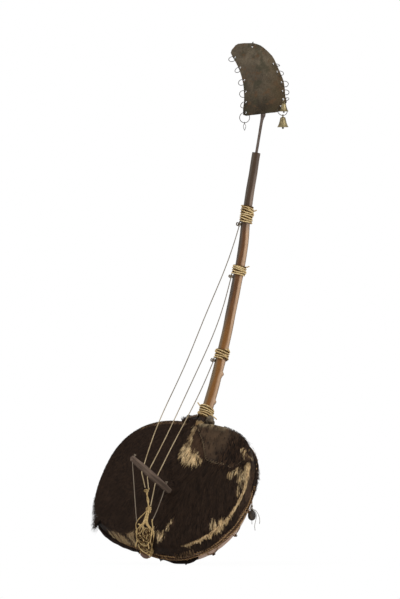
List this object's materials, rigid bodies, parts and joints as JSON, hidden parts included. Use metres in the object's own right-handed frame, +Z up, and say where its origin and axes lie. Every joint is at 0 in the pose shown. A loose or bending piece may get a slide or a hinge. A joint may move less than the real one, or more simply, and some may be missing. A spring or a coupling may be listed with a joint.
{
  "type": "harp-lute",
  "caption": "Harp-lute with a hide-covered half gourd, bent neck, sliding twine tuning windings, upright bridge and an iron rattle plate with rings and bells.",
  "frame": {"origin": "on the back of the neck just above its fixed winding, where a hand or a stand's fork holds the instrument", "axes": "+Z up as the instrument leans in use, +X to the right of someone looking at its face, +Y away from that person"},
  "size_m": [0.466, 0.4276, 1.249],
  "materials": {
    "gourd": "dull natural gourd",
    "hair_hide": "hair-on hide, dark with cream patches",
    "worn_hide": "worn bare hide",
    "thong": "twisted thong",
    "neck_wood": "bare wood, worn satin",
    "twine": "rough plant twine",
    "grey_wood": "dry weathered wood",
    "dark_leather": "dark rolled leather",
    "string_cord": "twisted cord",
    "iron": "rusted sheet iron",
    "wire": "dull iron wire",
    "brass": "aged brass",
    "nut": "dark nutshell"
  },
  "bodies": {
    "instrument": {"gourd_shell": "gourd", "hide_head": "hair_hide", "hide_patch": "worn_hide", "patch_seam": "thong", "hem_cord": "thong", "lacing": "thong", "neck": "neck_wood", "base_lashing": "twine", "tail_lashing": "twine", "toggle_stick": "grey_wood", "strap_knot_left": "dark_leather", "strap_knot_right": "dark_leather", "neck_strap": "dark_leather", "bridge": "grey_wood", "tail_knot_upper": "twine", "tail_knot_lower": "twine", "tail_cord": "twine", "tail_loop": "twine", "string_1": "string_cord", "string_2": "string_cord", "string_3": "string_cord", "bridge_tie_top": "string_cord", "bridge_tie_foot": "string_cord", "rattle_rod": "iron", "rattle_plate": "iron", "rivet_lower": "iron", "rivet_upper": "iron"},
    "tuning_1": {"tuning_lashing_1": "twine", "string_knot_1": "twine"},
    "tuning_2": {"tuning_lashing_2": "twine", "string_knot_2": "twine"},
    "tuning_3": {"tuning_lashing_3": "twine", "string_knot_3": "twine"},
    "ring_left_1": {"ring_left_1": "wire"},
    "ring_left_2": {"ring_left_2": "wire"},
    "ring_left_3": {"ring_left_3": "wire"},
    "ring_left_4": {"ring_left_4": "wire"},
    "ring_left_5": {"ring_left_5": "wire"},
    "ring_right_1": {"ring_right_1": "wire"},
    "ring_right_2": {"ring_right_2": "wire"},
    "ring_right_3": {"ring_right_3": "wire"},
    "ring_right_4": {"ring_right_4": "wire"},
    "ring_top": {"ring_top": "wire"},
    "link_ring": {"link_ring": "wire"},
    "bell_ring_low": {"bell_ring_low": "wire"},
    "bell_ring_high": {"bell_ring_high": "wire"},
    "drop_link": {"drop_link": "wire"},
    "bell_low": {"bell_low": "brass"},
    "clapper_low": {"clapper_low": "iron"},
    "bell_high": {"bell_high": "brass"},
    "clapper_high": {"clapper_high": "iron"},
    "pendant": {"pendant_cord": "thong", "pendant_bead": "nut", "pendant_thread": "thong"}
  },
  "joints": [
    {"name": "tuning_slide_1", "type": "slide", "parent": "instrument", "child": "tuning_1", "axis": [0.1273, 0.107, 0.9861], "range_m": [-0.006, 0.006], "deforming": ["string_1"]},
    {"name": "tuning_slide_2", "type": "slide", "parent": "instrument", "child": "tuning_2", "axis": [0.1783, 0.0813, 0.9806], "range_m": [-0.006, 0.006], "deforming": ["string_2"]},
    {"name": "tuning_slide_3", "type": "slide", "parent": "instrument", "child": "tuning_3", "axis": [0.2206, 0.1864, 0.9574], "range_m": [-0.006, 0.006], "deforming": ["string_3"]},
    {"name": "ring_left_1_swing", "type": "hinge", "parent": "instrument", "child": "ring_left_1", "pos_m": [0.04693, 0.12354, 0.79839], "axis": [-0.4311, -0.8894, 0.1521], "range_deg": [-25, 12]},
    {"name": "ring_left_2_swing", "type": "hinge", "parent": "instrument", "child": "ring_left_2", "pos_m": [0.05917, 0.11342, 0.77387], "axis": [-0.4311, -0.8894, 0.1521], "range_deg": [-25, 12]},
    {"name": "ring_left_3_swing", "type": "hinge", "parent": "instrument", "child": "ring_left_3", "pos_m": [0.06909, 0.10344, 0.74362], "axis": [-0.4311, -0.8894, 0.1521], "range_deg": [-25, 12]},
    {"name": "ring_left_4_swing", "type": "hinge", "parent": "instrument", "child": "ring_left_4", "pos_m": [0.07276, 0.09685, 0.71552], "axis": [-0.4311, -0.8894, 0.1521], "range_deg": [-25, 12]},
    {"name": "ring_left_5_swing", "type": "hinge", "parent": "instrument", "child": "ring_left_5", "pos_m": [0.07296, 0.09247, 0.69045], "axis": [-0.4311, -0.8894, 0.1521], "range_deg": [-25, 12]},
    {"name": "ring_right_1_swing", "type": "hinge", "parent": "instrument", "child": "ring_right_1", "pos_m": [0.13886, 0.07625, 0.78237], "axis": [-0.4311, -0.8894, 0.1521], "range_deg": [-12, 25]},
    {"name": "ring_right_2_swing", "type": "hinge", "parent": "instrument", "child": "ring_right_2", "pos_m": [0.14836, 0.06837, 0.76319], "axis": [-0.4311, -0.8894, 0.1521], "range_deg": [-6, 25]},
    {"name": "ring_right_3_swing", "type": "hinge", "parent": "instrument", "child": "ring_right_3", "pos_m": [0.15866, 0.05905, 0.73791], "axis": [-0.4311, -0.8894, 0.1521], "range_deg": [-12, 25]},
    {"name": "ring_right_4_swing", "type": "hinge", "parent": "instrument", "child": "ring_right_4", "pos_m": [0.16101, 0.05426, 0.71658], "axis": [-0.4311, -0.8894, 0.1521], "range_deg": [-12, 25]},
    {"name": "ring_top_swing", "type": "hinge", "parent": "instrument", "child": "ring_top", "pos_m": [0.08845, 0.10788, 0.82448], "axis": [-0.4311, -0.8894, 0.1521], "range_deg": [-15, 15]},
    {"name": "link_ring_swing", "type": "hinge", "parent": "instrument", "child": "link_ring", "pos_m": [0.07326, 0.08796, 0.66496], "axis": [-0.4311, -0.8894, 0.1521], "range_deg": [-12, 12]},
    {"name": "bell_ring_low_swing", "type": "hinge", "parent": "instrument", "child": "bell_ring_low", "pos_m": [0.15651, 0.05021, 0.68014], "axis": [-0.4311, -0.8894, 0.1521], "range_deg": [-8, 8]},
    {"name": "bell_ring_high_swing", "type": "hinge", "parent": "instrument", "child": "bell_ring_high", "pos_m": [0.16263, 0.0501, 0.69685], "axis": [-0.4311, -0.8894, 0.1521], "range_deg": [-5, 5]},
    {"name": "drop_link_swing", "type": "hinge", "parent": "link_ring", "child": "drop_link", "pos_m": [0.06958, 0.08823, 0.64069], "axis": [-0.9675, -0.2529, 0], "range_deg": [-25, 25]},
    {"name": "bell_low_swing", "type": "hinge", "parent": "bell_ring_low", "child": "bell_low", "pos_m": [0.16146, 0.04206, 0.65783], "axis": [-0.9633, -0.2686, 0], "range_deg": [-18, 18]},
    {"name": "clapper_low_swing", "type": "hinge", "parent": "bell_low", "child": "clapper_low", "pos_m": [0.16146, 0.04206, 0.64923], "axis": [-0.9633, -0.2686, 0], "range_deg": [-13, 13]},
    {"name": "bell_high_swing", "type": "hinge", "parent": "bell_ring_high", "child": "bell_high", "pos_m": [0.16371, 0.03793, 0.69119], "axis": [-0.7965, 0.6047, 0], "range_deg": [-4, 18]},
    {"name": "clapper_high_swing", "type": "hinge", "parent": "bell_high", "child": "clapper_high", "pos_m": [0.16371, 0.03793, 0.68342], "axis": [-0.7965, 0.6047, 0], "range_deg": [-13, 13]},
    {"name": "pendant_swing", "type": "hinge", "parent": "instrument", "child": "pendant", "pos_m": [0.08599, -0.21573, -0.27368], "axis": [0.8926, -0.4509, 0], "range_deg": [-14, 20]}
  ]
}
